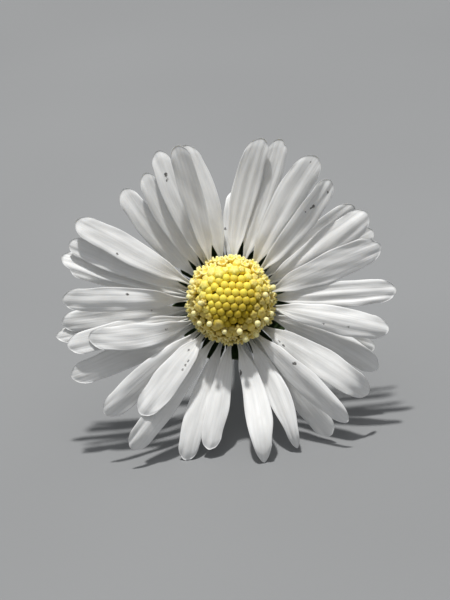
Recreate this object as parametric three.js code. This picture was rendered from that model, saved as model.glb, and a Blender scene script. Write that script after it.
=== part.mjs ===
// A picked common daisy, lying on a flat surface on its lowest petal tips and its cut stem, with its face looking
// forwards and up. Millimetres and degrees, +Z up. The face looks towards -Y, and the stem runs back along +Y.
//
// The flower head is built in its own frame and then tilted: X to the right across the face, Y up the face and Z out
// of it, with the origin on the axis at the height of the front row of petal claws.
import * as THREE from "three";

// How the flower lies
const FACE_ELEVATION = 28; // angle of the face's axis above the horizontal
const HEAD_ROLL = 5.7; // how far the head leans to its right, so that it rests on two petal tips
const SEAT_GAP = 0.15; // clearance between two pieces that grow from one another

// Ray petals, in four rows from the back (0) to the front (3)
const CLAW_RADIUS = 3.2; // where the claws leave the receptacle's rim
const ROW_HEIGHT = [-1.17, -0.78, -0.39, 0]; // height of each row's claws
const ROW_RISE = [7, 9, 11, 13]; // how steeply each row rises out of the face
const PETAL_THICKNESS = 0.2;
const PETAL_GUTTER = 0.1; // how far the long edges stand above the midrib
const CLAW_SHARE = 0.36; // width of the claw, as a share of the petal's width
const WIDEST_AT = 0.5; // where a petal reaches its full width, as a share of its length
const TIP_FROM = 0.7; // where the rounding of the tip begins
const TIP_SHARE = 0.22; // width of the last edge at the tip, as a share of the petal's width
const PETAL_SIDES = 8;
const PETAL_STATIONS = 9;

// One line for each ray petal, counted round the face from the right towards the top: the angles of its claw and of
// its tip, its reach from the axis, its width, its row, its sideways bow at mid-length (positive towards the next
// petal) and what is added to its row's rise.
const PETALS = [
  { claw: 4, tip: 3.7, reach: 12.6, width: 2.2, row: 2 },
  { claw: 14, tip: 20.4, reach: 12.15, width: 2.5, row: 3, lift: -2 },
  { claw: 21, tip: 26.3, reach: 12.2, width: 1.8, row: 0 },
  { claw: 27, tip: 32.7, reach: 12.4, width: 2.45, row: 2, bow: -0.2 },
  { claw: 36, tip: 37.5, reach: 11.9, width: 2, row: 1 },
  { claw: 46, tip: 50.5, reach: 11.9, width: 1.8, row: 3, bow: -0.25 },
  { claw: 57, tip: 59.5, reach: 12.8, width: 2.45, row: 2, bow: 0.25 },
  { claw: 72, tip: 72.8, reach: 12.95, width: 1.8, row: 1 },
  { claw: 86, tip: 79.1, reach: 12.65, width: 2.15, row: 2, bow: 0.4 },
  { claw: 92, tip: 88.5, reach: 8.5, width: 1.5, row: 0 },
  { claw: 103, tip: 106.6, reach: 12.45, width: 2, row: 1, bow: -0.35 },
  { claw: 119, tip: 109.3, reach: 12.45, width: 1.8, row: 3, bow: -0.1 },
  { claw: 124, tip: 116.2, reach: 12.75, width: 1.8, row: 2, bow: 0.2 },
  { claw: 133, tip: 124.1, reach: 11.8, width: 1.7, row: 1, bow: 0.3 },
  { claw: 145, tip: 134.1, reach: 11.95, width: 2, row: 0, bow: 0.3 },
  { claw: 157, tip: 152.8, reach: 13.25, width: 2.2, row: 3 },
  { claw: 166, tip: 160.4, reach: 13.1, width: 1.8, row: 2 },
  { claw: 172, tip: 165.4, reach: 13.35, width: 1.6, row: 1 },
  { claw: 176, tip: 168.1, reach: 12.65, width: 1.6, row: 0 },
  { claw: 178, tip: 179.5, reach: 12.8, width: 2.05, row: 3 },
  { claw: 190, tip: 187.2, reach: 13.05, width: 1.85, row: 1 },
  { claw: 195, tip: 191.5, reach: 13.7, width: 1.6, row: 0 },
  { claw: 202, tip: 195.3, reach: 12.9, width: 2.05, row: 2 },
  { claw: 208, tip: 194.5, reach: 11.2, width: 1.95, row: 3, bow: 0.5 },
  { claw: 214, tip: 205.4, reach: 13.5, width: 2.15, row: 1, bow: 0.15 },
  { claw: 223, tip: 221.8, reach: 12.9, width: 2.15, row: 2 },
  { claw: 230, tip: 231.3, reach: 11.0, width: 2.3, row: 3 },
  { claw: 246, tip: 236, reach: 13.55, width: 1.9, row: 2 },
  { claw: 257, tip: 253.8, reach: 12.65, width: 1.85, row: 1, bow: -0.15 },
  { claw: 269, tip: 261.5, reach: 11.45, width: 1.8, row: 2 },
  { claw: 280, tip: 281.7, reach: 12.5, width: 2.15, row: 3, bow: 0.35 },
  { claw: 287, tip: 285.5, reach: 8.8, width: 1.2, row: 0 },
  { claw: 296, tip: 294.3, reach: 12.3, width: 2, row: 2, bow: 0.3 },
  { claw: 302, tip: 306.7, reach: 12.8, width: 2, row: 1 },
  { claw: 307, tip: 314, reach: 12.75, width: 2.05, row: 3 },
  { claw: 321, tip: 326, reach: 12.65, width: 2.3, row: 2, bow: 0.15 },
  { claw: 339, tip: 335.5, reach: 12.35, width: 2, row: 1, bow: 0.35 },
  { claw: 346, tip: 341.6, reach: 11.6, width: 1.6, row: 0 },
  { claw: 351.5, tip: 349.6, reach: 12.15, width: 2.2, row: 3 },
];

// Receptacle: the solid heart that carries the florets, petals and bracts
const RECEPTACLE_FOOT = { radius: 1.0, height: -3.9 };
const RECEPTACLE_WAIST = { radius: 2.1, height: -2.6 };
const RECEPTACLE_RIM = { radius: CLAW_RADIUS - SEAT_GAP, bottom: -1.5, top: 0.2 };
const RECEPTACLE_APEX = 1.6;

// Disc: closed buds in the middle and open florets in a ring round them
const DISC_RADIUS = 3.54;
const DISC_EDGE = { bottom: 0.5, top: 0.95 };
const DISC_APEX = 3.1;
const BUD_RADIUS = 2.35; // outer edge of the closed buds

// Involucre: green bracts in one ring under the petals
const BRACT_COUNT = 13;
const BRACT_ROOT = { radius: 1.4, height: -3.95 };
const BRACT_BELLY = { radius: 3.1, height: -3.6 };
const BRACT_TIP = { radius: 4.6, height: -1.5 };
const BRACT_WIDTH = 1.45;
const BRACT_THICKNESS = 0.28;
const BRACT_STAGGER = 0.2; // every other bract lies this much further out
const BRACT_SIDES = 8;
const BRACT_STATIONS = 7;

// Stem: bends from the back of the head down to the surface, and lies along it to its cut end
const STEM_TOP_RADIUS = 1.0;
const STEM_RADIUS = 0.75;
const STEM_FLARE = 0.12; // share of the stem's length over which the top narrows
const STEM_BACK = 37; // how far behind the head's centre the cut end lies
const STEM_ASIDE = 5; // how far to the right of the head's centre the cut end lies
const STEM_NECK = 9; // length of the straight pull out of the head
const STEM_RUN = 18; // length of the pull along the surface at the cut end
const STEM_RUN_ANGLE = 14; // how far that pull turns to the right from straight back
const STEM_SIDES = 12;
const STEM_STATIONS = 26;

const LATHE_SEGMENTS = 32;

const materials = {
  petal: new THREE.MeshStandardMaterial({ color: 0xf0f0ee, roughness: 0.55, side: THREE.DoubleSide }),
  bud: new THREE.MeshStandardMaterial({ color: 0xe3c23a, roughness: 0.5 }),
  openFloret: new THREE.MeshStandardMaterial({ color: 0xeed566, roughness: 0.6 }),
  receptacle: new THREE.MeshStandardMaterial({ color: 0x9aa65a, roughness: 0.6 }),
  bract: new THREE.MeshStandardMaterial({ color: 0x4c6b2c, roughness: 0.65 }),
  stem: new THREE.MeshStandardMaterial({ color: 0x6c8a3c, roughness: 0.6 }),
};

const radians = THREE.MathUtils.degToRad;
const smoothstep = THREE.MathUtils.smoothstep;

// A closed rod round a moving centre. place(share, across, up) returns the point for a share of the length from 0 to
// 1 and a position in the unit circle, where across, the length and up make a right-handed set.
function rod(sides, stations, place) {
  const geometry = new THREE.CylinderGeometry(1, 1, 1, sides, stations);
  const points = geometry.getAttribute("position");
  const point = new THREE.Vector3();
  for (let i = 0; i < points.count; i++) {
    point.fromBufferAttribute(points, i);
    const moved = place(point.y + 0.5, point.x, point.z);
    points.setXYZ(i, moved.x, moved.y, moved.z);
  }
  geometry.computeVertexNormals();
  return geometry;
}

function onFace(angle, radius) {
  return new THREE.Vector2(Math.cos(radians(angle)), Math.sin(radians(angle))).multiplyScalar(radius);
}

// Half the width of a petal: it widens smoothly from the claw, and the tip closes as an ellipse.
function petalHalfWidth(width, share) {
  const body = CLAW_SHARE + (1 - CLAW_SHARE) * smoothstep(share, -0.15, WIDEST_AT);
  const intoTip = Math.max(0, (share - TIP_FROM) / (1 - TIP_FROM));
  const end = Math.max(TIP_SHARE, Math.sqrt(1 - intoTip * intoTip));
  return 0.5 * width * Math.min(body, end);
}

// A petal follows a bowed line across the face, and climbs at its row's rise.
function petalGeometry({ claw, tip, reach, width, row, bow = 0, lift = 0 }) {
  const start = onFace(claw, CLAW_RADIUS);
  const end = onFace(tip, reach);
  const along = end.clone().sub(start);
  const length = along.length();
  along.normalize();
  const slope = Math.tan(radians(ROW_RISE[row] + lift));
  return rod(PETAL_SIDES, PETAL_STATIONS, (share, across, up) => {
    const sideways = -across * petalHalfWidth(width, share) + bow * 4 * share * (1 - share);
    const thickness = 0.5 * PETAL_THICKNESS * up;
    return new THREE.Vector3(
      start.x + along.x * length * share - along.y * sideways,
      start.y + along.y * length * share + along.x * sideways,
      ROW_HEIGHT[row] + slope * length * share + thickness + PETAL_GUTTER * across * across * share,
    );
  });
}

function petals() {
  return PETALS.map((petal, i) => {
    const mesh = new THREE.Mesh(petalGeometry(petal), materials.petal);
    mesh.name = `petal_${String(i + 1).padStart(2, "0")}`;
    return mesh;
  });
}

// A bract curves out from the foot of the receptacle and up under the petals. It is an oblong with a blunt tip.
function bractGeometry(angle, stagger) {
  const curve = new THREE.QuadraticBezierCurve(
    new THREE.Vector2(BRACT_ROOT.radius, BRACT_ROOT.height),
    new THREE.Vector2(BRACT_BELLY.radius + stagger, BRACT_BELLY.height - stagger),
    new THREE.Vector2(BRACT_TIP.radius + stagger, BRACT_TIP.height),
  );
  const outward = onFace(angle, 1);
  return rod(BRACT_SIDES, BRACT_STATIONS, (share, across, up) => {
    const centre = curve.getPoint(share);
    const tangent = curve.getTangent(share);
    const body = 0.36 + 0.64 * smoothstep(share, -0.1, 0.6);
    const end = Math.sqrt(1 - Math.max(0, (share - 0.68) / 0.35) ** 2);
    const sideways = -across * 0.5 * BRACT_WIDTH * Math.min(body, end);
    const inward = 0.5 * BRACT_THICKNESS * up;
    const radius = centre.x - tangent.y * inward;
    return new THREE.Vector3(
      outward.x * radius - outward.y * sideways,
      outward.y * radius + outward.x * sideways,
      centre.y + tangent.x * inward,
    );
  });
}

function bracts() {
  return Array.from({ length: BRACT_COUNT }, (_, i) => {
    const stagger = i % 2 ? BRACT_STAGGER : 0;
    const mesh = new THREE.Mesh(bractGeometry((360 * i) / BRACT_COUNT, stagger), materials.bract);
    mesh.name = `bract_${String(i + 1).padStart(2, "0")}`;
    return mesh;
  });
}

// A turned piece on the head's axis, from [radius, height] points.
function turned(name, profile, material) {
  const points = profile.map(([radius, height]) => new THREE.Vector2(radius, height));
  const geometry = new THREE.LatheGeometry(points, LATHE_SEGMENTS).rotateX(Math.PI / 2);
  const mesh = new THREE.Mesh(geometry, material);
  mesh.name = name;
  return mesh;
}

// Height of a dome that falls as an ellipse from its apex at the axis to its edge at the outer radius.
function domeHeight(radius, outerRadius, edge, apex) {
  return edge + (apex - edge) * Math.sqrt(Math.max(0, 1 - (radius / outerRadius) ** 2));
}

const receptacleTop = (radius) =>
  domeHeight(radius, RECEPTACLE_RIM.radius, RECEPTACLE_RIM.top, RECEPTACLE_APEX);
const discFloor = (radius) => Math.max(DISC_EDGE.bottom, receptacleTop(radius) + SEAT_GAP);
const discTop = (radius) => domeHeight(radius, DISC_RADIUS, DISC_EDGE.top, DISC_APEX);

// Points of a dome from one radius to another, as [radius, height].
function arc(height, from, to, steps) {
  return Array.from({ length: steps + 1 }, (_, i) => {
    const radius = from + ((to - from) * i) / steps;
    return [radius, height(radius)];
  });
}

function receptacle() {
  const profile = [
    [0, RECEPTACLE_FOOT.height],
    [RECEPTACLE_FOOT.radius, RECEPTACLE_FOOT.height],
    [RECEPTACLE_WAIST.radius, RECEPTACLE_WAIST.height],
    [RECEPTACLE_RIM.radius, RECEPTACLE_RIM.bottom],
    ...arc(receptacleTop, RECEPTACLE_RIM.radius, 0, 7),
  ];
  return turned("receptacle", profile, materials.receptacle);
}

function discBuds() {
  const profile = [...arc(discFloor, 0, BUD_RADIUS, 5), ...arc(discTop, BUD_RADIUS, 0, 7)];
  return turned("disc_buds", profile, materials.bud);
}

function discOpenFlorets() {
  const inner = BUD_RADIUS + SEAT_GAP;
  const profile = [...arc(discFloor, inner, DISC_RADIUS, 3), ...arc(discTop, DISC_RADIUS, inner, 5)];
  profile.push(profile[0]);
  return turned("disc_open_florets", profile, materials.openFloret);
}

function flowerHead() {
  const head = new THREE.Group();
  head.add(...petals(), ...bracts(), receptacle(), discBuds(), discOpenFlorets());
  head.rotation.set(radians(90 - FACE_ELEVATION), radians(HEAD_ROLL), 0, "YXZ");
  head.position.z = -new THREE.Box3().setFromObject(head, true).min.z;
  return head;
}

// The stem leaves the receptacle's foot along the head's axis and ends level, lying on the surface.
function stem(head) {
  const foot = new THREE.Vector3(0, 0, RECEPTACLE_FOOT.height - SEAT_GAP);
  const start = head.localToWorld(foot.clone());
  const neck = head.localToWorld(foot.clone().setZ(foot.z - STEM_NECK));
  const end = new THREE.Vector3(STEM_ASIDE, STEM_BACK, STEM_RADIUS);
  const turn = radians(STEM_RUN_ANGLE);
  const pull = new THREE.Vector3(-Math.sin(turn), -Math.cos(turn), 0).multiplyScalar(STEM_RUN);
  const curve = new THREE.CubicBezierCurve3(start, neck, end.clone().add(pull), end);
  const upwards = new THREE.Vector3(0, 0, 1);
  const geometry = rod(STEM_SIDES, STEM_STATIONS, (share, across, up) => {
    const tangent = curve.getTangent(share);
    const side = tangent.clone().cross(upwards).normalize();
    const above = side.clone().cross(tangent);
    const radius = THREE.MathUtils.lerp(STEM_TOP_RADIUS, STEM_RADIUS, smoothstep(share, 0, STEM_FLARE));
    return curve
      .getPoint(share)
      .addScaledVector(side, across * radius)
      .addScaledVector(above, up * radius);
  });
  const mesh = new THREE.Mesh(geometry, materials.stem);
  mesh.name = "stem";
  return mesh;
}

function daisy() {
  const flower = new THREE.Group();
  const head = flowerHead();
  flower.add(head);
  flower.updateMatrixWorld(true);
  flower.add(stem(head));
  const box = new THREE.Box3().setFromObject(flower, true);
  flower.position.set(-(box.min.x + box.max.x) / 2, -(box.min.y + box.max.y) / 2, -box.min.z);
  const part = new THREE.Group();
  part.add(flower);
  return part;
}

export default daisy();
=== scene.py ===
"""A picked common daisy, lying on its lowest petal tips and the cut end of its stem.

The flower head is worked out in its own frame, in millimetres: X to the right across the face, Y up the face
and Z out of it, with the origin on the axis at the height of the front row's claws. Every piece is a closed
surface made from arrays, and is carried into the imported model's frame at the end.
"""

import math

import bpy
import numpy as np
from bpy.props import FloatProperty, FloatVectorProperty, IntProperty, PointerProperty
from mathutils import Matrix, Vector


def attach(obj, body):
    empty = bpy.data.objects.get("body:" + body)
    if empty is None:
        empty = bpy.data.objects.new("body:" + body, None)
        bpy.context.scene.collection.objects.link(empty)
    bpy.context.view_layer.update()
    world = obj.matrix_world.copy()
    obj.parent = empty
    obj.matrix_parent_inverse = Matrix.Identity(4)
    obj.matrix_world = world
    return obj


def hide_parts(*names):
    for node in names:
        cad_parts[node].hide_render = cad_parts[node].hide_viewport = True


bl_info = {
    "name": "Picked daisy",
    "version": (1, 0, 0),
    "blender": (4, 5, 0),
    "location": "3D View > Sidebar > Daisy",
    "description": "Builds a picked daisy petal by petal, with its disc, bracts and stem",
    "category": "Object",
}

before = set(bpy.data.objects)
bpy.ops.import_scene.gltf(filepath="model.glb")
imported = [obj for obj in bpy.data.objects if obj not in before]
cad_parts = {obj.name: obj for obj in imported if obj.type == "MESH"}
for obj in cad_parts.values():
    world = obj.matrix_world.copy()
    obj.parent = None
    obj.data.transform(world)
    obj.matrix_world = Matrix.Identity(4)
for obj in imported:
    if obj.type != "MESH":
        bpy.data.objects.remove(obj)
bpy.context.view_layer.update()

# ---- how the head lies

MM = 0.001
FACE_ELEVATION = math.radians(28)
HEAD_ROLL = math.radians(5.7)  # the head leans to its right and rests on two petal tips
LEAN = np.array(
    [[math.cos(HEAD_ROLL), 0, math.sin(HEAD_ROLL)], [0, 1, 0], [-math.sin(HEAD_ROLL), 0, math.cos(HEAD_ROLL)]]
)
RIGHT = LEAN @ [1.0, 0.0, 0.0]
UP_FACE = LEAN @ [0.0, math.sin(FACE_ELEVATION), math.cos(FACE_ELEVATION)]
OUT_OF_FACE = LEAN @ [0.0, -math.cos(FACE_ELEVATION), math.sin(FACE_ELEVATION)]
AXES = np.stack([RIGHT, UP_FACE, OUT_OF_FACE])
FOOT_HEIGHT = -3.9  # the receptacle's foot, in the head's frame

# ---- sizes of the petals, in mm

CLAW_RADIUS = 3.2  # the claws stand this far from the axis
ROW_HEIGHT = (-1.17, -0.78, -0.39, 0.0)  # height of the claws, from the hindmost row to the front one
ROW_RISE = (7, 9, 11, 13)  # degrees that a row's petals rise towards their tips
CLAW_START = -0.035  # a petal starts at this share of its length, inside the receptacle
CLAW_SHARE = 0.12  # width of the claw as a share of the blade's
TIP_ROUNDING = 0.62  # depth of the rounded tip as a share of the blade's width
CREASE_PLACES = (-0.42, 0.4)  # two short creases that reach in from the tip, as places across
CREASE_SPREAD = 0.16
NOTCH_SPREAD = 0.14
CRUMPLES = 7
PETAL_GRID = (60, 29)  # rows and columns of points
NO_SPECK = 5.0  # distance from a speck that stands for far away

# What a ray petal may have of its own. Places across run from -1 at the right edge to 1 at the left one, next
# to the petal that follows, and places along are shares of the length.
PETAL_SHAPE = dict(
    bow=0.0,  # bends the middle line sideways, to the left
    lift=0.0,  # degrees added to the rise of its row
    arch=0.08,  # raises the blade in one long wave from claw to tip
    bend=0.8,  # raises the inner part, most at a third of the length
    sink=0.0,  # lowers the claw, most at 0.14 of the length
    hook=0.0,  # raises the outer part, most at 0.8 of the length
    curl=0.05,  # lowers the tip
    roll=0,  # degrees that the blade is turned about its length
    twist=0,  # degrees that its foot alone is turned
    cup=0.03,  # lifts both long edges
    left=0.0,  # lifts the left edge
    right=0.0,  # lifts the right edge
    groove=0.08,  # depth of the furrows that run along the blade
    furrows=1.4,  # their number
    phase=None,  # their shift in radians, or None for one of its own by chance
    ridge=(0, 0),  # a soft fold: its place across and its height, or depth when negative
    neck=0.0,  # how much further along the claw starts to widen
    taper=(0.62, 0.12),  # where the blade starts to narrow, and by what share
    point=0.6,  # how sharp the tip is
    notch=(0, 0),  # a nick in the tip: its place across and its depth
    specks=(),  # small dark marks: place along, place across and radius
)


def petal(claw, tip, reach, width, row, **own):
    """One ray petal: its claw's and its tip's angles, its tip's reach from the axis, and what is its own."""
    return {**PETAL_SHAPE, "claw": claw, "tip": tip, "reach": reach, "width": width, "row": row, **own}


# Counted round the face from the right towards the top, with angles in degrees
PETALS = (
    petal(4, 3.7, 12.6, 2.05, 2, bend=0.5, roll=2, twist=6, groove=0.14, furrows=2.4, phase=0.0),
    petal(14, 20.4, 12.15, 2.35, 3, lift=-1, bend=0.2, curl=0.2, roll=17, groove=0.12, furrows=1.6,
          phase=0.0, ridge=(-0.5, 0.2), notch=(0.5, 0.15)),
    petal(21, 26.3, 12.2, 1.7, 0, lift=-1.5, bend=-0.6, roll=15, twist=-20),
    petal(27, 32.7, 12.4, 2.3, 2, bow=-0.2, bend=-0.8, curl=0.25, roll=3, furrows=2, ridge=(-0.1, 0.36)),
    petal(36, 37.5, 11.9, 1.85, 1, bend=-0.45, roll=19),
    petal(46, 50.5, 11.9, 1.75, 3, bow=-0.25, bend=0.0, roll=20, right=0.1,
          specks=((0.73, 0.04, 0.15), (0.7, 0.13, 0.08), (0.65, 0.34, 0.08), (0.9, -0.38, 0.1))),
    petal(57, 59.5, 12.8, 2.35, 2, bow=0.25, bend=0.2, roll=9, groove=0.14, furrows=2, ridge=(-0.4, 0.2),
          specks=((0.936, 0.12, 0.1),)),
    petal(72, 72.8, 12.95, 1.75, 1, lift=0.6, bend=-0.5, furrows=2, notch=(-0.5, 0.12)),
    petal(86, 79.1, 12.65, 2.1, 2, bow=0.4, lift=-1, bend=-1.0, furrows=3),
    petal(92, 88.5, 8.5, 1.4, 0, lift=-9, bend=-0.3, curl=0.4, specks=((0.44, 0.72, 0.12),)),
    petal(103, 106.6, 12.45, 1.9, 1, bow=-0.35, bend=0.0, left=0.1, ridge=(0.5, 0.15)),
    petal(119, 109.3, 12.45, 1.75, 3, bow=-0.1, lift=5, bend=-0.3, cup=0.2, neck=0.02),
    petal(124, 116.2, 12.75, 1.7, 2, bow=0.2, lift=-1, bend=0.3, neck=0.02,
          specks=((0.8, 0.0, 0.15), (0.755, 0.08, 0.1), (0.78, -0.12, 0.08))),
    petal(133, 124.1, 11.8, 1.65, 1, bow=0.3, lift=1, bend=-0.5, curl=0.2, twist=-12, neck=0.02),
    petal(145, 134.1, 11.95, 1.9, 0, bow=0.3, bend=-0.6, curl=0.25, roll=-8, twist=-20, neck=0.02),
    petal(157, 152.8, 13.25, 2.05, 3, lift=-1, sink=0.3, roll=12, right=0.04, groove=0.1, furrows=1.5,
          phase=2.0, neck=0.04, specks=((0.61, 0.72, 0.1),)),
    petal(166, 160.4, 13.1, 1.75, 2, lift=0.5, bend=0.85, sink=0.3, roll=-3, left=0.05, ridge=(0.35, -0.12),
          neck=0.04),
    petal(172, 165.4, 13.35, 1.5, 1, lift=2, bend=0.7, sink=0.4, roll=16, twist=-12, groove=0.12, neck=0.04),
    petal(176, 168.1, 12.65, 1.5, 0, bend=0.7, sink=0.5, roll=-6, twist=-15, neck=0.04),
    petal(178, 179.5, 12.8, 1.9, 3, bend=1.3, sink=0.6, roll=-8, twist=-24, left=-0.12, groove=0.2,
          furrows=1.25, phase=-0.4, neck=0.05, specks=((0.49, -0.44, 0.12),)),
    petal(190, 187.2, 13.05, 1.8, 1, lift=-2, bend=1.2, sink=0.5, roll=-8, twist=-22, neck=0.05,
          specks=((0.306, -0.28, 0.11), (0.295, 0.71, 0.15))),
    petal(195, 191.5, 13.7, 1.5, 0, bend=1.2, sink=0.75, roll=2, twist=-22, neck=0.05, point=1.0),
    petal(202, 195.3, 12.9, 1.9, 2, bend=1.2, sink=0.35, hook=0.08, twist=-14, furrows=2, neck=0.05),
    petal(208, 194.5, 11.2, 1.95, 3, bow=0.5, arch=0.25, bend=1.4, sink=0.6, twist=-26, groove=0.04,
          neck=0.04, specks=((0.276, -0.17, 0.12),)),
    petal(214, 205.4, 13.5, 2.05, 1, bow=0.15, bend=0.75, sink=0.3, roll=-6.5, twist=-12, ridge=(-0.8, 0.15),
          neck=0.04),
    petal(223, 221.8, 12.9, 2.05, 2, sink=0.2, hook=0.2, roll=-14, twist=-8, groove=0.05, ridge=(-0.65, 0.3),
          neck=0.04),
    petal(230, 231.3, 11.0, 2.2, 3, lift=2.5, arch=0.2, hook=0.1, groove=0.05, neck=0.04,
          specks=((0.23, -0.16, 0.13), (0.31, 0.42, 0.12), (0.36, 0.45, 0.12), (0.41, 0.47, 0.1))),
    petal(246, 236, 13.55, 1.9, 2, bend=0.4, hook=0.3, roll=-22, groove=0.16, furrows=1, ridge=(-0.4, 0.2),
          neck=0.03, specks=((0.24, -0.75, 0.14),)),
    petal(257, 253.8, 12.65, 1.8, 1, bow=-0.15, lift=0.4, bend=0, hook=0.4, cup=-0.06, left=-0.06,
          groove=0.14, furrows=1, neck=0.03),
    petal(269, 261.5, 11.45, 1.75, 2, bend=0, hook=0.2, curl=0.1, cup=-0.06, neck=0.03),
    petal(280, 281.7, 12.5, 2.0, 3, bow=0.35, lift=1.2, bend=0, hook=0.55, curl=0.3, neck=0.03,
          taper=(0.66, 0.3), point=1.1, specks=((0.24, -0.85, 0.15), (0.27, -0.9, 0.12))),
    petal(287, 285.5, 8.8, 1.1, 0, lift=1.5, bend=-0.2, neck=0.03),
    petal(296, 294.3, 12.3, 1.85, 2, bow=0.3, bend=0.1, hook=0.65, roll=20, neck=0.04, taper=(0.5, 0.5),
          point=0.9),
    petal(302, 306.7, 12.8, 1.9, 1, roll=36, twist=10, neck=0.02),
    petal(307, 314, 12.75, 1.9, 3, hook=0.15, roll=28, twist=14, ridge=(0.5, 0.4), neck=0.02,
          taper=(0.55, 0.3), point=0.8, specks=((0.38, 0.62, 0.16), (0.365, 0.52, 0.09))),
    petal(321, 326, 12.65, 2.2, 2, bow=0.15, arch=0.2, hook=0.9, curl=0.6, roll=5, twist=8,
          specks=((0.17, -0.53, 0.13), (0.217, -0.64, 0.14))),
    petal(339, 335.5, 12.35, 1.9, 1, bow=0.35, twist=20, furrows=2, ridge=(0.0, 0.12)),
    petal(346, 341.6, 11.6, 1.5, 0, roll=8),
    petal(351.5, 349.6, 12.15, 2.1, 3, roll=7, furrows=2, ridge=(-0.2, 0.34),
          specks=((0.66, -0.29, 0.1), (0.45, -0.5, 0.11))),
)

# ---- sizes of the disc, bracts and stem, in mm

DISC_SHIFT = 0.14  # the dome sits this far up the face from the middle of the claws
OPENING_RADIUS = 1.95  # from here outwards the buds are about to open
BUD_EDGE = 2.42  # from here outwards they belong to the ring of open florets
OPEN_RADIUS = 2.75  # and from here outwards they are open
COMB_RADIUS = 2.1  # the rows of buds in the middle reach this far
COMB_ROW = 0.9  # distance between those rows, in spacings
COMB_TURN = 0.04  # radians that they are turned
COMB_SHIFT = (-0.08, -0.02)  # and how far they are moved to the right and up
SPIRAL_START = 0.9  # radians from the right to where the spiral starts
OWN_ROOM = 0.47  # a free floret stands at least this many spacings from one with a place of its own
PUSH_ROUNDS = 60
# Kinds of florets with a place of their own on the face: larger buds, and florets with a ball of pollen
LARGE_BUD, KNOB = 1, 2
LARGE_BUDS = ((-2.0, 1.04), (-0.89, 1.9), (0.23, 2.15), (2.19, -0.99), (-0.91, -1.85))
POLLEN_KNOBS = (
    *((-3.05, 1.3), (-3.18, 0.18), (-2.26, -0.28), (-2.87, -1.09), (-2.44, -1.85), (-1.68, -1.91)),
    *((-0.53, -2.57), (0.63, -2.39), (1.07, -2.95), (1.85, -2.6), (2.03, -1.85), (2.61, -1.5)),
    *((3.1, -1.1), (3.2, 0.9), (2.7, 0.35)),
)
KNOB_FOOT = 0.9  # a knob leans outwards, so its foot is this share of its distance from the axis
LOBES = 5  # each floret opens into five lobes
TURN_PER_MM = 40  # radians that a floret is turned about itself for each mm from the axis
TURN_LIMIT = 6.28  # and where that starts again from 0

# The receptacle's outline as radius and height
RECEPTACLE_PROFILE = np.array(
    [[0.95, FOOT_HEIGHT], [1.3, -3.5], [2.1, -2.6], [2.75, -1.9], [3.0, -1.3], [3.03, -0.3], [2.9, 0.2]]
    + [[2.6, 0.75], [2.1, 1.15], [1.4, 1.44], [0.6, 1.58]]
)
RECEPTACLE_GRID = (40, 60)

BRACT_COUNT = 13
BRACT_PATH = np.array([[1.4, -3.95], [3.15, -3.6], [4.5, -1.36]])  # radius and height of foot, bend and tip
BRACT_OUTWARD = np.array([[0, 0], [1, -1], [1, 0]])  # how those three move on a bract that stands further out
BRACT_STAGGER = 0.2  # every second bract stands this much further out
LAST_STAGGER = 0.12  # and so does the last one, whose neighbours both stand in
BRACT_HALF_WIDTH = 0.72
BRACT_THICKNESS = 0.26
BRACT_GRID = (36, 17)

STEM_TOP = FOOT_HEIGHT + 0.1  # in the head's frame
STEM_NECK = FOOT_HEIGHT - 9.15  # the stem leaves the head towards this point on the axis
STEM_END = (5, 37, 0.75)  # middle of the cut end: right of the head's origin, behind it, and above the floor
STEM_RUN = 18  # the curve's last handle lies this far in front of the cut end
STEM_RUN_TURN = math.radians(14)  # and from there the stem heads this much to the right of straight back
STEM_RADIUS = 0.72
STEM_GRID = (150, 30)
STEM_UV_LENGTH = 8.0  # the texture runs from 0 to this along the stem, which is so much longer than a bract
CUT_RINGS = ((0.97, -0.01), (0.9, 0.03), (0.55, 0.1))  # share of the stem's radius and depth in mm
CUT_DEPTH = 0.12  # the cut face is sunk this deep in its middle
HAIR_RADIUS = 0.014
HAIR_CLEARANCE = 0.02  # a hair ends at least this far above the floor

# ---- the stage

VIEW_HEIGHT = 45.72 * MM  # the camera takes in this much of the face's plane from top to bottom
VIEW_MIDDLE = (-0.46, 0.08)  # and looks at this point beside the head's axis, in mm to the right and up
FACE_HEIGHT = 1.2  # in mm: the lights and the camera look at this point above the head's origin
SENSOR = 36  # in mm
FLOOR_HALF = 1.5  # half the floor's side, in metres
# Name, direction in the head's frame, distance and width in metres, and colour
LAMPS = (
    ("key", (-0.13, 0.9, 0.41), 0.5, 0.03, (1.0, 0.99, 0.97)),
    ("fill", (-0.1, 0.8, 0.6), 0.6, 0.35, (0.97, 0.98, 1.0)),
)
SURROUND = (0.95, 0.97, 1.0, 1.0)

# ---- seeds of the random draws

PETAL_TONE_SEED = 11
PETAL_SEED = 100  # the first petal's, and the next ones count on from it
BUD_SEED = 3
FLORET_SEED = 5
BRACT_SEED = 21
STEM_SEED = 31
SEED_STEP = 37.0  # how far apart the fibres' noise is taken for tones that differ by 1


# ---- shared maths


def smoothstep(x, low, high):
    """0 below low, 1 above high, and an S-shaped cubic between them."""
    t = np.clip((x - low) / (high - low), 0, 1)
    return t * t * (3 - 2 * t)


def bell(x, middle, spread):
    """A bell curve: the exponential of minus the square of the distance from its middle, in spreads."""
    return np.exp(-(((x - middle) / spread) ** 2))


def bezier(t, points):
    """A Bezier curve: the sum of its points, each times its binomial share of t and 1 - t."""
    degree = len(points) - 1
    shares = [math.comb(degree, k) * t**k * (1 - t) ** (degree - k) for k in range(degree + 1)]
    return sum(share[..., None] * point for share, point in zip(shares, points))


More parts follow.
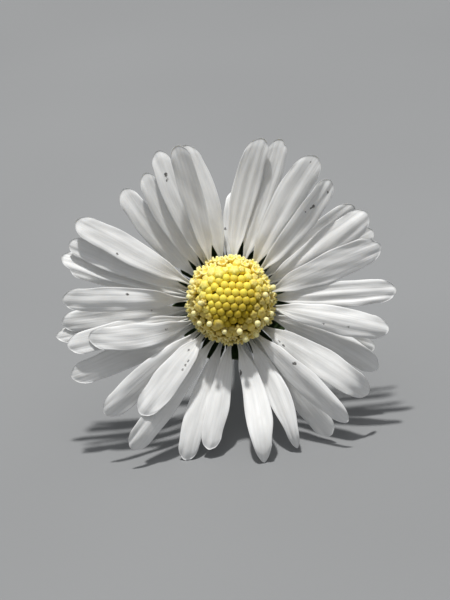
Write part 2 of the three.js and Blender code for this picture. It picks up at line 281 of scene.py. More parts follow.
def head_origin():
    """The head's origin in mm: the middle of the receptacle's flat foot, moved out along the face's axis."""
    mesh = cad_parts["receptacle"].data
    points = np.empty(len(mesh.vertices) * 3)
    mesh.vertices.foreach_get("co", points)
    points = points.reshape(-1, 3) / MM
    depth = points @ OUT_OF_FACE
    foot = np.unique(points[depth < depth.min() + 0.01].round(3), axis=0)
    centre = 0.5 * (foot.min(axis=0) + foot.max(axis=0))
    return centre - FOOT_HEIGHT * OUT_OF_FACE


HEAD_ORIGIN = head_origin()


def from_head(points):
    """Points of the head's frame in the model's frame: the origin plus each coordinate along its own axis."""
    return HEAD_ORIGIN + np.asarray(points, float) @ AXES


def unit(vectors):
    """Vectors divided by their lengths."""
    return vectors / np.maximum(np.linalg.norm(vectors, axis=-1, keepdims=True), 1e-12)


def on_face(angle, radius):
    """A point at an angle in degrees and a distance from the axis, in the face's plane."""
    return radius * np.array([math.cos(math.radians(angle)), math.sin(math.radians(angle))])


def round_angles(columns):
    """Angles of evenly spaced columns round a full turn."""
    return 2 * math.pi * np.arange(columns) / columns


def frames_about(directions):
    """Two unit vectors square to each direction, which make a right-handed set with it."""
    helper = np.where(np.abs(directions[:, 2:3]) < 0.9, [[0.0, 0.0, 1.0]], [[1.0, 0.0, 0.0]])
    first = unit(np.cross(helper, directions))
    return first, np.cross(directions, first)


def rings_about(angles, first, second):
    """For each row of two unit vectors, the first times an angle's cosine plus the second times its sine."""
    return np.cos(angles)[..., None] * first[:, None] + np.sin(angles)[..., None] * second[:, None]


# ---- closed surfaces


def tube_faces(rows, columns):
    """Quads of a grid whose rows run along an axis and whose columns run once round it, counter-clockwise."""
    i, j = np.meshgrid(np.arange(rows - 1), np.arange(columns), indexing="ij")
    k = (j + 1) % columns
    corners = [i * columns + j, i * columns + k, (i + 1) * columns + k, (i + 1) * columns + j]
    return np.stack(corners, axis=-1).reshape(-1, 4)


def closed_tube_faces(rows, columns):
    """The quads of such a grid, and triangles to two poles that close its ends and come after its points."""
    j = np.arange(columns)
    k = (j + 1) % columns
    last = (rows - 1) * columns
    foot, top = np.full(columns, rows * columns), np.full(columns, rows * columns + 1)
    poles = [np.stack([foot, k, j], axis=-1), np.stack([top, last + j, last + k], axis=-1)]
    return tube_faces(rows, columns), np.concatenate(poles)


def blade_faces(rows, columns):
    """Quads and triangles of a thin blade: a loop over its front and back, closed by a strip at each end."""
    loop = 2 * columns - 2
    quads = [tube_faces(rows, loop)]
    triangles = []
    front = np.arange(columns)
    back = (loop - front) % loop
    back[-1] = columns - 1
    for first, order in ((0, 1), ((rows - 1) * loop, -1)):
        strip = first + np.stack([front[:-1], front[1:], back[1:], back[:-1]], axis=-1)
        quads.append(strip[1:-1, ::order])
        triangles.append(np.array([strip[0][[0, 1, 2]], strip[-1][[0, 1, 3]]])[:, ::order])
    return np.concatenate(quads), np.concatenate(triangles)


def repeated(faces, size, count):
    """The quads and triangles of one shape, repeated for each of its copies of so many points."""
    step = size * np.arange(count)[:, None, None]
    return tuple((part + step).reshape(-1, part.shape[1]) for part in faces)


def blade_grid(start, rows, columns):
    """Shares along a blade, from start to 1, and places across it, a sine from 1 at its left edge to -1."""
    along = np.linspace(start, 1.0, rows)[:, None]
    across = np.sin(0.5 * math.pi * np.linspace(1, -1, columns))[None, :]
    return along, across


def blade_thickness(thickness, along, across, tip_start, tip_loss):
    """A thickness times the root of 1 less the fourth power of the place across, and thinner near the tip."""
    thinned = 1 - tip_loss * smoothstep(along, tip_start, 1.0)
    return thickness * np.maximum(1 - across**4, 0) ** 0.5 * thinned


def around_blade(front, back=None):
    """Values on a blade's middle surface for its whole skin: the front's, then the back's the other way."""
    back = front if back is None else np.broadcast_to(back, front.shape)
    return np.concatenate([front, back[:, -2:0:-1]], axis=1)


def closed_blade(middle, thickness):
    """The skin of a thin blade: its middle surface moved half its thickness to each side along its normals.

    The grid's columns run from the left edge to the right one, and the two edge columns stay single lines.
    """
    along, across = np.gradient(middle, axis=0), np.gradient(middle, axis=1)
    normals = unit(np.cross(across, along))
    half = 0.5 * thickness[..., None] * normals
    front = middle + half
    front[:, [0, -1]] = middle[:, [0, -1]]
    return around_blade(front, middle - half), normals


def blade_uv(share, across):
    """Texture coordinates of a blade: the share along it, and 0 to 1 from its right edge to its left one."""
    return around_blade(np.stack([share, 0.5 + 0.5 * np.broadcast_to(across, share.shape)], axis=-1))


def new_object(name, data):
    """An object in the scene for a mesh, a light or a camera."""
    thing = bpy.data.objects.new(name, data)
    bpy.context.scene.collection.objects.link(thing)
    return thing


class Skin:
    """Gathers closed surfaces and makes one mesh of them."""

    def __init__(self):
        self.points, self.quads, self.triangles = [], [], []
        self.uv, self.slots, self.values = [], [], {}
        self.count = 0

    def add(self, points, faces, uv=None, slot=0, **values):
        """Adds points, in mm of the model's frame, faces, and a number per point for each named value."""
        points = points.reshape(-1, 3)
        quads, triangles = faces
        size = len(points)
        self.points.append(points)
        self.quads.append(quads + self.count)
        self.triangles.append(triangles + self.count)
        self.uv.append(np.zeros((size, 2)) if uv is None else uv.reshape(-1, 2))
        self.slots.append((np.full(len(quads), slot), np.full(len(triangles), slot)))
        for name, value in values.items():
            known = self.values.setdefault(name, [np.zeros(self.count)])
            known.append(np.broadcast_to(np.ravel(value), size).astype(float))
        self.count += size
        for known in self.values.values():
            known.append(np.zeros(self.count - sum(len(part) for part in known)))

    def make(self, name, materials, nodes):
        """Makes the object, rides it on the one body and hides the solids it stands for."""
        quads, triangles = np.concatenate(self.quads), np.concatenate(self.triangles)
        corners = np.concatenate([quads.ravel(), triangles.ravel()]).astype(np.int32)
        totals = np.concatenate([np.full(len(quads), 4), np.full(len(triangles), 3)]).astype(np.int32)
        starts = np.concatenate([[0], np.cumsum(totals)[:-1]]).astype(np.int32)
        mesh = bpy.data.meshes.new(name)
        mesh.vertices.add(self.count)
        mesh.vertices.foreach_set("co", (np.concatenate(self.points) * MM).ravel())
        mesh.loops.add(len(corners))
        mesh.loops.foreach_set("vertex_index", corners)
        mesh.polygons.add(len(totals))
        mesh.polygons.foreach_set("loop_start", starts)
        slots = np.concatenate([s[0] for s in self.slots] + [s[1] for s in self.slots])
        mesh.polygons.foreach_set("material_index", slots.astype(np.int32))
        mesh.polygons.foreach_set("use_smooth", np.ones(len(totals), bool))
        mesh.update(calc_edges=True)
        uv = mesh.uv_layers.new(name="surface")
        uv.data.foreach_set("uv", np.concatenate(self.uv)[corners].ravel())
        for key, parts in self.values.items():
            attribute = mesh.attributes.new(key, "FLOAT", "POINT")
            attribute.data.foreach_set("value", np.concatenate(parts))
        if mesh.validate():
            raise RuntimeError(f"{name} has faces that are not valid")
        for material in materials:
            mesh.materials.append(bpy.data.materials[material])
        piece = new_object(name, mesh)
        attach(piece, "root")
        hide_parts(*nodes)


def add_tube(skin, grid, poles, reach, tone, crown):
    """Adds rings of points closed by a pole at each end, with a texture that runs by reach and once round."""
    rows, columns = grid.shape[:2]
    uv = np.stack(np.meshgrid(reach, np.arange(columns) / columns, indexing="ij"), axis=-1)
    skin.add(
        np.concatenate([grid.reshape(-1, 3), poles]),
        closed_tube_faces(rows, columns),
        uv=np.concatenate([uv.reshape(-1, 2), [[0, 0], [reach[-1], 0]]]),
        tone=tone,
        crown=np.append(np.repeat(crown, columns), [0, 1]),
    )


def add_hairs(skin, roots, directions, lengths, droop):
    """Fine hairs of the second material, as three-sided spikes.

    Each has a root, a bent middle at half its length and a tip pulled aside by its droop.
    """
    ring = HAIR_RADIUS * rings_about(round_angles(3), *frames_about(directions))
    reach = directions * lengths[:, None]
    foot = roots[:, None] - 0.15 * reach[:, None] + ring
    middle = roots[:, None] + 0.5 * reach[:, None] + 0.25 * droop[:, None] + 0.7 * ring
    tip = roots + reach + droop
    points = np.concatenate([foot, middle, tip[:, None]], axis=1)
    quads = np.array([[0, 1, 4, 3], [1, 2, 5, 4], [2, 0, 3, 5]])
    triangles = np.array([[0, 2, 1], [3, 4, 6], [4, 5, 6], [5, 3, 6]])
    skin.add(points, repeated((quads, triangles), 7, len(roots)), slot=1)


# ---- materials


def new_node(tree, kind, inputs, **settings):
    """The outputs of a new shader node, whose inputs are linked to sockets or set to numbers."""
    node = tree.nodes.new(f"ShaderNode{kind}")
    for name, value in settings.items():
        setattr(node, name, value)
    for label, value in inputs.items():
        if isinstance(value, bpy.types.NodeSocket):
            tree.links.new(value, node.inputs[label])
        else:
            node.inputs[label].default_value = value
    return node.outputs


def maths(tree, operation, *values):
    """The result of a Math node on sockets or numbers."""
    return new_node(tree, "Math", dict(enumerate(values)), operation=operation)[0]


def new_group(name, inputs, outputs):
    """A shader node group, its inputs' sockets and its end node: an input without a value is a vector."""
    group = bpy.data.node_groups.new(name, "ShaderNodeTree")
    for label, value in inputs.items():
        kind = "NodeSocketVector" if value is None else "NodeSocketFloat"
        socket = group.interface.new_socket(name=label, in_out="INPUT", socket_type=kind)
        if value is not None:
            socket.default_value = value
    for label in outputs:
        group.interface.new_socket(name=label, in_out="OUTPUT", socket_type="NodeSocketFloat")
    return group, group.nodes.new("NodeGroupInput").outputs, group.nodes.new("NodeGroupOutput")


def fibres_group():
    """Noise drawn out along the first texture axis: fine fibres that run from root to tip."""
    inputs = {"Surface": None, "Across": 24.0, "Along": 2.0, "Seed": 0.0}
    group, given, end = new_group("Lengthwise fibres", inputs, ["Fibre"])
    surface = new_node(group, "SeparateXYZ", {0: given["Surface"]})
    along = maths(group, "MULTIPLY", surface["X"], given["Along"])
    across = maths(group, "MULTIPLY", surface["Y"], given["Across"])
    apart = maths(group, "MULTIPLY", given["Seed"], SEED_STEP)
    vector = new_node(group, "CombineXYZ", {"X": along, "Y": across, "Z": apart})[0]
    noise = new_node(group, "TexNoise", {"Vector": vector, "Scale": 1.0, "Detail": 3.0})
    group.links.new(noise["Fac"], end.inputs["Fibre"])


def mottle_group():
    """Soft and fine noise on the object's own coordinates, for uneven colour and a grainy skin."""
    group, given, end = new_group("Mottled skin", {"Place": None, "Fineness": 1.0}, ["Patches", "Grain"])
    for label, per_metre in (("Patches", 900.0), ("Grain", 9000.0)):
        scale = maths(group, "MULTIPLY", given["Fineness"], per_metre)
        noise = new_node(group, "TexNoise", {"Vector": given["Place"], "Scale": scale, "Detail": 2.0})
        group.links.new(noise["Fac"], end.inputs[label])


class Finish:
    """One material: a Principled shader and the nodes that feed it."""

    def __init__(self, name, roughness, subsurface=0.0, depth=0.3 * MM, radius=(1.0, 0.9, 0.8), shine=0.5):
        material = bpy.data.materials.new(name)
        material.use_nodes = True
        self.tree = material.node_tree
        self.shader = self.tree.nodes["Principled BSDF"].inputs
        self.shader["Roughness"].default_value = roughness
        self.shader["Subsurface Weight"].default_value = subsurface
        self.shader["Subsurface Radius"].default_value = radius
        self.shader["Subsurface Scale"].default_value = depth
        self.shader["Specular IOR Level"].default_value = shine

    def feed(self, label, socket):
        """Links a socket to the shader's input of that name."""
        self.tree.links.new(socket, self.shader[label])

    def fibres(self, **values):
        """Lengthwise fibres, with numbers or sockets for how many run across and along, and their seed."""
        group = bpy.data.node_groups["Lengthwise fibres"]
        return new_node(self.tree, "Group", {"Surface": self.surface(), **values}, node_tree=group)["Fibre"]

    def mottle(self, fineness):
        """Patches and grain by the place on the piece, in the model's frame."""
        group = bpy.data.node_groups["Mottled skin"]
        place = new_node(self.tree, "TexCoord", {})["Object"]
        return new_node(self.tree, "Group", {"Place": place, "Fineness": fineness}, node_tree=group)

    def surface(self):
        """The piece's own root-to-tip and side-to-side coordinates."""
        return new_node(self.tree, "UVMap", {}, uv_map="surface")[0]

    def share_along(self):
        """The root-to-tip coordinate alone."""
        return new_node(self.tree, "SeparateXYZ", {0: self.surface()})["X"]

    def value(self, name):
        """A number stored at each of the mesh's points."""
        return new_node(self.tree, "Attribute", {}, attribute_name=name)["Fac"]

    def spread(self, value, low, high, to_low=0.0, to_high=1.0):
        """Maps a value from low..high to another range, held at its ends."""
        inputs = {"Value": value, "From Min": low, "From Max": high, "To Min": to_low, "To Max": to_high}
        return new_node(self.tree, "MapRange", inputs)["Result"]

    def weighted_sum(self, value, weight, added):
        """The value times a number, plus another value."""
        return maths(self.tree, "MULTIPLY_ADD", value, weight, added)

    def mix(self, factor, first, second):
        """Blends two colours, each a socket or three numbers; 6 and 7 are the node's two colour inputs."""
        ends = [c if isinstance(c, bpy.types.NodeSocket) else (*c, 1.0) for c in (first, second)]
        return new_node(self.tree, "Mix", {"Factor": factor, 6: ends[0], 7: ends[1]}, data_type="RGBA")[2]

    def bump(self, height, distance, strength):
        """Raises the shading by a height from 0 to 1, as if by a distance in metres."""
        inputs = {"Height": height, "Distance": distance, "Strength": strength}
        self.feed("Normal", new_node(self.tree, "Bump", inputs)[0])


def petal_finish(settings):
    """Uneven white with faint fibres and small dark specks. The claw's dark grey-green is a real green tinge
    plus painted shade of the crevice round the disc.
    """
    finish = Finish("petal_white", roughness=0.5, subsurface=0.2)
    shade = settings.shade[:]
    tone = finish.value("tone")
    coarse = finish.fibres(Across=9.0, Along=1.6, Seed=tone)
    fine = finish.fibres(Across=60.0, Along=5.0, Seed=tone)
    mottle = finish.mottle(0.7)
    colour = finish.mix(finish.spread(coarse, 0.35, 0.7), settings.white[:], shade)
    colour = finish.mix(finish.spread(mottle["Patches"], 0.48, 0.7, 0.0, 0.8), colour, shade)
    # painted shade: the claw colour darkens the foot of each petal where the disc and its neighbours shade
    # it, over a real green tinge
    colour = finish.mix(finish.spread(finish.share_along(), 0.0, 0.15, 0.6, 0.0), colour, settings.claw[:])
    ragged = finish.weighted_sum(mottle["Grain"], 0.22, finish.value("speck"))
    colour = finish.mix(finish.spread(ragged, 0.06, 0.13, 0.9, 0.0), colour, settings.speck[:])
    finish.feed("Base Color", colour)
    finish.bump(finish.weighted_sum(fine, 0.35, coarse), 0.05 * MM, 0.6)
    finish.feed("Roughness", finish.spread(mottle["Patches"], 0.3, 0.7, 0.44, 0.58))


def floret_finish(name, low, high, pollen, foot_shade_heights):
    """Yellow from a deep to a bright colour by each floret's tone, with painted shade at its foot and cream
    pollen where it is open.

    foot_shade_heights holds the heights, in mm, where the foot's deep colour starts to fade and where it has
    gone.
    """
    finish = Finish(name, 0.45, subsurface=0.6, depth=0.35 * MM, radius=(1.0, 0.9, 0.7), shine=0.25)
    colour = finish.mix(finish.value("tone"), low, high)
    # painted shade: each floret's foot, in the gaps between florets, darkens towards this deep colour, far
    # darker for florets of low tone
    deep = finish.mix(finish.value("tone"), [0.12 * c for c in low], [0.9 * c for c in high])
    colour = finish.mix(finish.spread(finish.value("rise"), *foot_shade_heights, 0.95, 0.0), colour, deep)
    finish.feed("Base Color", finish.mix(finish.value("pollen"), colour, pollen))
    finish.bump(finish.mottle(1.5)["Grain"], 0.02 * MM, 0.7)


def green_finish(name, light, dark, across, crown):
    """Green with lengthwise fibres and uneven darker patches, and a colour of its own on its crown: on the
    bracts that is painted shade on their side towards the petals.
    """
    finish = Finish(name, roughness=0.55, subsurface=0.1)
    fibre = finish.fibres(Across=across, Along=3.0, Seed=finish.value("tone"))
    mottle = finish.mottle(0.7)
    colour = finish.mix(finish.spread(fibre, 0.3, 0.7), light, dark)
    colour = finish.mix(finish.spread(mottle["Patches"], 0.45, 0.75, 0.0, 0.5), colour, dark)
    finish.feed("Base Color", finish.mix(finish.value("crown"), colour, crown))
    finish.bump(finish.weighted_sum(mottle["Grain"], 0.3, fibre), 0.06 * MM, 0.7)


def plain_finish(name, colour, roughness, fineness):
    """One colour with faint darker patches."""
    finish = Finish(name, roughness)
    patches = finish.spread(finish.mottle(fineness)["Patches"], 0.4, 0.7)
    finish.feed("Base Color", finish.mix(patches, colour, [0.92 * c for c in colour]))


# ---- what a user can change


def colour_property(name, text, default):
    """A colour."""
    return FloatVectorProperty(name=name, description=text, subtype="COLOR", default=default)


def size_property(name, text, default, **limits):
    """A length in millimetres."""
    return FloatProperty(name=name, description=f"{text}, in mm", default=default, **limits)


class DaisyPetals(bpy.types.PropertyGroup):
    """The petals' thickness and colours"""

    thickness: size_property("Thickness", "Thickness of a petal", 0.15, min=0.05, max=0.4)
    white: colour_property("White", "Colour of the petals", (0.86, 0.86, 0.85))
    shade: colour_property("Shade", "Colour of the fibres and patches", (0.76, 0.76, 0.75))
    # the claw colour is a real green tinge darkened as painted shade of the crevice round the disc
    claw: colour_property("Claw", "Colour of the narrow foot of a petal", (0.24, 0.25, 0.19))
    speck: colour_property("Specks", "Colour of the small dark marks", (0.04, 0.035, 0.03))


class DaisyDisc(bpy.types.PropertyGroup):
    """The disc's sizes and colours"""

    radius: size_property("Radius", "Radius of the disc's surface", 3.2)
    edge: size_property("Edge height", "Height of the disc's surface at its edge", 0.1)
    apex: size_property("Apex height", "Height of the disc's surface in its middle", 3.25)
    spacing: size_property("Spacing", "Distance between neighbouring florets", 0.635)
    # the deep colours serve the florets of low tone, which the lower side of the disc gets as painted shade
    bud_low: colour_property("Deep bud", "Deepest colour of a closed bud", (0.36, 0.255, 0.002))
    bud_high: colour_property("Bright bud", "Brightest colour of a closed bud", (1.0, 0.8, 0.11))
    open_low: colour_property("Deep floret", "Deepest colour of an open floret", (0.62, 0.45, 0.04))
    open_high: colour_property("Bright floret", "Brightest colour of an open floret", (1.0, 0.78, 0.14))
    pollen: colour_property("Pollen", "Colour of the pollen", (1.0, 0.86, 0.42))


class DaisyGreens(bpy.types.PropertyGroup):
    """The colours and hairs of bracts, stem and receptacle"""

    light: colour_property("Light green", "Lighter green of bracts and stem", (0.13, 0.2, 0.05))
    dark: colour_property("Dark green", "Darker green of bracts and stem", (0.045, 0.085, 0.02))
    flesh: colour_property("Flesh", "Pale green of the cut end of the stem", (0.42, 0.5, 0.2))
    crown: colour_property("Crown", "Colour between the florets", (0.5, 0.39, 0.03))
    hair: colour_property("Hairs", "Colour of the fine hairs", (0.75, 0.78, 0.7))
    hair_length: size_property("Hair length", "Length of the fine hairs", 0.4)
    stem_hairs: IntProperty(name="Stem hairs", description="Number of hairs on the stem", default=1100)
    bract_hairs: IntProperty(name="Bract hairs", description="Number of hairs on each bract", default=70)


class DaisyStage(bpy.types.PropertyGroup):
    """The floor, the lights and the camera's distance"""

    floor: colour_property("Floor", "Colour of the floor", (0.25, 0.255, 0.26))
    key_power: FloatProperty(name="Key", description="Power of the small lamp, in watts", default=2.65)
    fill_power: FloatProperty(name="Fill", description="Power of the wide lamp, in watts", default=0.38)
    ambient: FloatProperty(name="Surround", description="Strength of the even light all round", default=0.3)
    distance: FloatProperty(
        name="Camera distance",
        description="From the camera to the face",
        default=0.19,
        unit="LENGTH",
        subtype="DISTANCE",
    )


class DAISY_OT_materials(bpy.types.Operator):
    """Make the node groups and the materials that the pieces share"""

    bl_idname = "daisy.materials"
    bl_label = "Materials"

    def execute(self, context):
        disc, greens = context.scene.daisy_disc, context.scene.daisy_greens
        light, dark = greens.light[:], greens.dark[:]
        fibres_group()
        mottle_group()
        petal_finish(context.scene.daisy_petals)
        floret_finish("bud_yellow", disc.bud_low[:], disc.bud_high[:], disc.pollen[:], (0.3, 0.75))
        floret_finish("open_floret_yellow", disc.open_low[:], disc.open_high[:], disc.pollen[:], (0.5, 0.95))
        # the bracts' crown colour, half the dark green on their side towards the petals, is painted shade
        green_finish("bract_green", light, dark, 14.0, [0.5 * c for c in dark])
        green_finish("stem_green", light, dark, 30.0, greens.flesh[:])
        green_finish("receptacle_flesh", light, dark, 30.0, greens.crown[:])
        plain_finish("white_hair", greens.hair[:], 0.4, 1.0)
        return {"FINISHED"}


# ---- ray petals


def petal_outline(shape, length, along, across, creases, phase):
    """Each point's share of the length, and the half width on its side.

    A point is drawn back by its distance from the middle line, to a power that rounds the tip, and by the
    creases and the notch. The half width grows from the claw in two smooth steps, falls by the taper and
    wavers as two sines.
    """
    place, depth = shape["notch"]
    drawn_back = 1 - np.maximum(1 - across**2, 0) ** shape["point"] + 0.045 * creases
    drawn_back += 0.8 * depth * bell(across, place, NOTCH_SPREAD)
    share = along - TIP_ROUNDING * shape["width"] / length * drawn_back * np.clip(along, 0, 1) ** 5

    neck = shape["neck"]
    taper_start, taper = shape["taper"]
    body = CLAW_SHARE + 0.5 * smoothstep(along, neck - 0.02, neck + 0.22)
    body += (0.5 - CLAW_SHARE) * smoothstep(along, 0.1, 0.62)
    body *= 1 - taper * smoothstep(along, taper_start, 1.0)
    edge = np.sign(across)
    waver = 1 + 0.035 * np.sin(7.5 * along + phase[0] + 1.2 * edge)
    waver = waver + 0.02 * np.sin(17 * along + phase[1] + 2 * edge)
    return share, 0.5 * shape["width"] * body * waver


def petal_profile(shape, length, along, share, phase):
    """Height of the middle line: its row's height, and a rise in proportion to the share of the length.

    To that come half a sine wave for the arch, 1 - (1 - share)^5 - share for the bend, a bell for the sink,
    share^4 (1 - share) for the hook, a faint wave, and a parabola down to the tip for the curl.
    """
    inside = np.clip(share, 0, 1)
    slope = math.tan(math.radians(ROW_RISE[shape["row"]] + shape["lift"]))
    height = ROW_HEIGHT[shape["row"]] + slope * length * share
    height += shape["arch"] * np.sin(math.pi * inside)
    height += shape["bend"] * (1 - (1 - share) ** 5 - share)
    height -= shape["sink"] * bell(share, 0.14, 0.13)
    height += shape["hook"] * 12 * inside**4 * (1 - share)
    height += 0.06 * np.sin(6.5 * along + phase[5]) * smoothstep(along, 0.1, 0.5)
    return height - shape["curl"] * np.clip((share - 0.72) / 0.28, 0, 1) ** 2


def petal_relief(shape, along, across, half, creases, phase):
    """What the folds, furrows and turns across a petal add to its height.

    The furrows are two cosines across, deepest in the middle. The ridge falls off to both sides as a
    hyperbola, the cup is a parabola, and each edge is lifted on its own and ripples as a sine. Roll and twist
    add the sine of their angle times the distance from the middle line. All grows as the claw opens out.
    """
    open_blade = smoothstep(along, 0.0, 0.4)
    edge = np.sign(across)
    shift = phase[3] if shape["phase"] is None else shape["phase"]
    wavy = across + 0.1 * np.sin(2.6 * along + phase[2])
    furrow = 0.78 * np.cos(math.pi * shape["furrows"] * wavy + shift)
    furrow += 0.22 * np.cos(math.pi * 2.3 * shape["furrows"] * wavy + phase[6] + 1.5 * along)
    fade = 0.75 + 0.25 * np.sin(5 * along + phase[7] + 2 * across)
    fade = fade * (1 - 0.55 * smoothstep(along, 0.82, 1.0))
    relief = 0.58 * shape["groove"] * furrow * (1 - 0.5 * across**2) * open_blade * fade
    relief -= 0.05 * creases * smoothstep(along, 0.72, 0.95)
    place, rise = shape["ridge"]
    fold = 1 - np.sqrt((across - place) ** 2 + 0.02) / (1 + abs(place))
    relief += rise * fold * open_blade * (1 - 0.5 * smoothstep(along, 0.85, 1.0))
    relief += (shape["cup"] * open_blade + 0.22 * (1 - open_blade)) * across**2
    relief += shape["left"] * smoothstep(across, 0.3, 1.05) * open_blade
    relief += shape["right"] * smoothstep(-across, 0.3, 1.05) * open_blade
    relief += 0.035 * np.abs(across) ** 3 * np.sin(14 * along + phase[4] + edge) * open_blade
    foot = smoothstep(along, -0.02, 0.08) * (1 - smoothstep(along, 0.2, 0.45))
    turn = math.sin(math.radians(shape["roll"])) * open_blade + math.sin(math.radians(shape["twist"])) * foot
    return relief + across * half * turn


def petal_crumples(rng, along, share, ahead, aside):
    """Faint crumples: sine waves in random directions, lower the shorter they are and higher near the tip."""
    strength = smoothstep(along, 0.0, 0.4) * (1 + 0.9 * smoothstep(share, 0.75, 0.95))
    crumples = 0
    for _ in range(CRUMPLES):
        wave_ahead, wave_aside = rng.uniform(-2.5, 2.5), rng.uniform(2.5, 9)
        wave = wave_ahead * ahead + wave_aside * aside + rng.uniform(0, 2 * math.pi)
        crumples += rng.uniform(0.02, 0.05) / wave_aside * np.sin(wave) * strength
    return crumples


def speck_field(shape, share, across, length):
    """How far each point lies from the nearest dark speck's edge, in mm."""
    field = np.full(share.shape, NO_SPECK)
    for place, side, radius in shape["specks"]:
        gap = np.hypot((share - place) * length, (across - side) * 0.5 * shape["width"]) - radius
        field = np.minimum(field, gap)
    return field


def petal_surface(shape, thickness, seed):
    """The middle surface of one ray petal, its thickness, the shares along, the places across and its specks.

    A straight line runs from the claw to the tip, and the bow bends it sideways as a parabola. A point lies
    along it at its share of the length, and to its left by the half width times the place across.
    """
    rng = np.random.default_rng(seed)
    claw = on_face(shape["claw"], CLAW_RADIUS)
    forward = on_face(shape["tip"], shape["reach"]) - claw
    length = np.linalg.norm(forward)
    forward = forward / length
    phase = rng.uniform(0, 2 * math.pi, 8)
    places = np.array(CREASE_PLACES) + rng.uniform(-0.12, 0.12, 2)
    depths = rng.uniform(0.3, 1.0, 2)

    along, across = blade_grid(CLAW_START, *PETAL_GRID)
    creases = sum(depth * bell(across, place, CREASE_SPREAD) for place, depth in zip(places, depths))
    share, half = petal_outline(shape, length, along, across, creases, phase)
    ahead, aside = length * share, across * half
    height = petal_profile(shape, length, along, share, phase)
    height += petal_relief(shape, along, across, half, creases, phase)
    height += petal_crumples(rng, along, share, ahead, aside)
    aside = aside + shape["bow"] * 4 * share * (1 - share)
    x = claw[0] + forward[0] * ahead - forward[1] * aside
    y = claw[1] + forward[1] * ahead + forward[0] * aside
    thickness = blade_thickness(thickness, along, across, 0.93, 0.8) * (1.25 - 0.3 * along)
    specks = speck_field(shape, share, across, length)
    return np.stack([x, y, height], axis=-1), thickness, share, across, specks


class DAISY_OT_petals(bpy.types.Operator):
    """Build the ray petals, each as its own closed blade"""

    bl_idname = "daisy.petals"
    bl_label = "Ray petals"

    def execute(self, context):
        thickness = context.scene.daisy_petals.thickness
        rng = np.random.default_rng(PETAL_TONE_SEED)
        faces = blade_faces(*PETAL_GRID)
        for i, shape in enumerate(PETALS):
            middle, thick, share, across, specks = petal_surface(shape, thickness, PETAL_SEED + i)
            points, _ = closed_blade(middle, thick)
            specks = around_blade(specks, NO_SPECK)
            skin = Skin()
            skin.add(from_head(points), faces, uv=blade_uv(share, across), tone=rng.uniform(), speck=specks)
            node = f"petal_{i + 1:02d}"
            skin.make(f"ray_{node}", ["petal_white"], [node])
        return {"FINISHED"}


# ---- florets of the disc


def floret_profile(*rows):
    """A profile in mm: radius, height, what a lobe adds to each of them, and pollen, 0 where left out."""
    return np.array([row + (0,) * (5 - len(row)) for row in rows])


CLOSED_BUD = floret_profile(
    *((0.16, 0), (0.25, 0.32), (0.3, 0.52), (0.318, 0.66), (0.3, 0.79), (0.245, 0.89)),
    *((0.16, 0.955, 0.01), (0.06, 0.97, 0.015, 0.02)),
)
OPENING_BUD = floret_profile(
    *((0.16, 0), (0.24, 0.3), (0.29, 0.5), (0.31, 0.66, 0.02), (0.285, 0.8, 0.045)),
    *((0.22, 0.9, 0.055, 0.02, 0.1), (0.14, 0.95, 0.05, 0.05, 0.3), (0.05, 0.93, 0.03, 0.06, 0.3)),
)
OPEN_FLORET = floret_profile(
    *((0.13, 0), (0.2, 0.4), (0.25, 0.6, 0.02), (0.26, 0.76, 0.06, 0.03, 0.1), (0.235, 0.84, 0.1, 0.1, 0.6)),
    *((0.19, 0.85, 0.085, 0.14, 0.7), (0.15, 0.78, 0.03, 0.06, 0.2), (0.08, 0.7)),
)
KNOB_FLORET = floret_profile(
    *((0.13, 0), (0.18, 0.4), (0.23, 0.6, 0.03), (0.24, 0.72, 0.1, 0.04, 0.1), (0.18, 0.78, 0.12, 0.08, 0.3)),
    *((0.1, 0.78, 0.02, 0, 0.5), (0.1, 0.9, 0, 0, 1), (0.19, 1.0, 0, 0, 1), (0.21, 1.1, 0.01, 0, 1)),
    *((0.16, 1.21, 0.02, 0, 1), (0.07, 1.25, 0, 0, 1)),
)


def disc_height(settings, radius):
    """The disc's surface: an ellipse that falls from the apex to the edge."""
    fall = np.sqrt(np.maximum(0, 1 - (radius / settings.radius) ** 2))
    return settings.edge + (settings.apex - settings.edge) * fall


def pitch_at(pitch, reach):
    """The distance between florets: the spacing in the middle, and up to 1.6 times as much at the rim."""
    return pitch * (1 + 0.6 * smoothstep(reach, 2.6, 4.4))


def comb_places(pitch):
    """A honeycomb: rows of florets, every second row half a spacing along, turned and shifted a little."""
    column, row = np.meshgrid(np.arange(-6, 7), np.arange(-6, 7))
    comb = np.stack([column + 0.5 * (row % 2), COMB_ROW * row], axis=-1).reshape(-1, 2) * pitch
    comb = comb @ [[1, -COMB_TURN], [COMB_TURN, 1]] + COMB_SHIFT
    return comb[np.hypot(*comb.T) < COMB_RADIUS]


def rim_places(pitch, arc):
    """A spiral of florets the golden angle apart, each as far out as the room of those before it asks for.

    One takes the room of a point in a honeycomb, and arc holds distances from the axis along the dome.
    """
    room = 2 * math.pi * arc / (pitch_at(pitch, arc) ** 2 * math.sqrt(3) / 2)
    number = np.concatenate([[0], np.cumsum(0.5 * (room[1:] + room[:-1]) * np.diff(arc))])
    order = np.arange(int(number[-1]))
    reach = np.interp(order + 0.5, number, arc)
    keep = reach > COMB_RADIUS + 0.12 * pitch
    turn = order[keep] * math.pi * (3 - math.sqrt(5)) + SPIRAL_START
    return reach[keep, None] * np.stack([np.cos(turn), np.sin(turn)], axis=-1)


def push_apart(points, fixed, pitch, rim):
    """Moves points that are too close apart, round after round, but not the fixed ones or past the rim."""
    for _ in range(PUSH_ROUNDS):
        gap = points[:, None] - points
        distance = np.linalg.norm(gap, axis=-1) + np.eye(len(points)) * 9
        wanted = 1.02 * pitch_at(pitch, np.hypot(*points.T))
        short = np.clip(0.5 * (wanted[:, None] + wanted) - distance, 0, 0.2)
        push = short[..., None] * gap / distance[..., None]
        points[fixed:] += 0.3 * push.sum(axis=1)[fixed:]
        far = np.hypot(*points.T)
        points *= (np.minimum(far, rim) / far)[:, None]


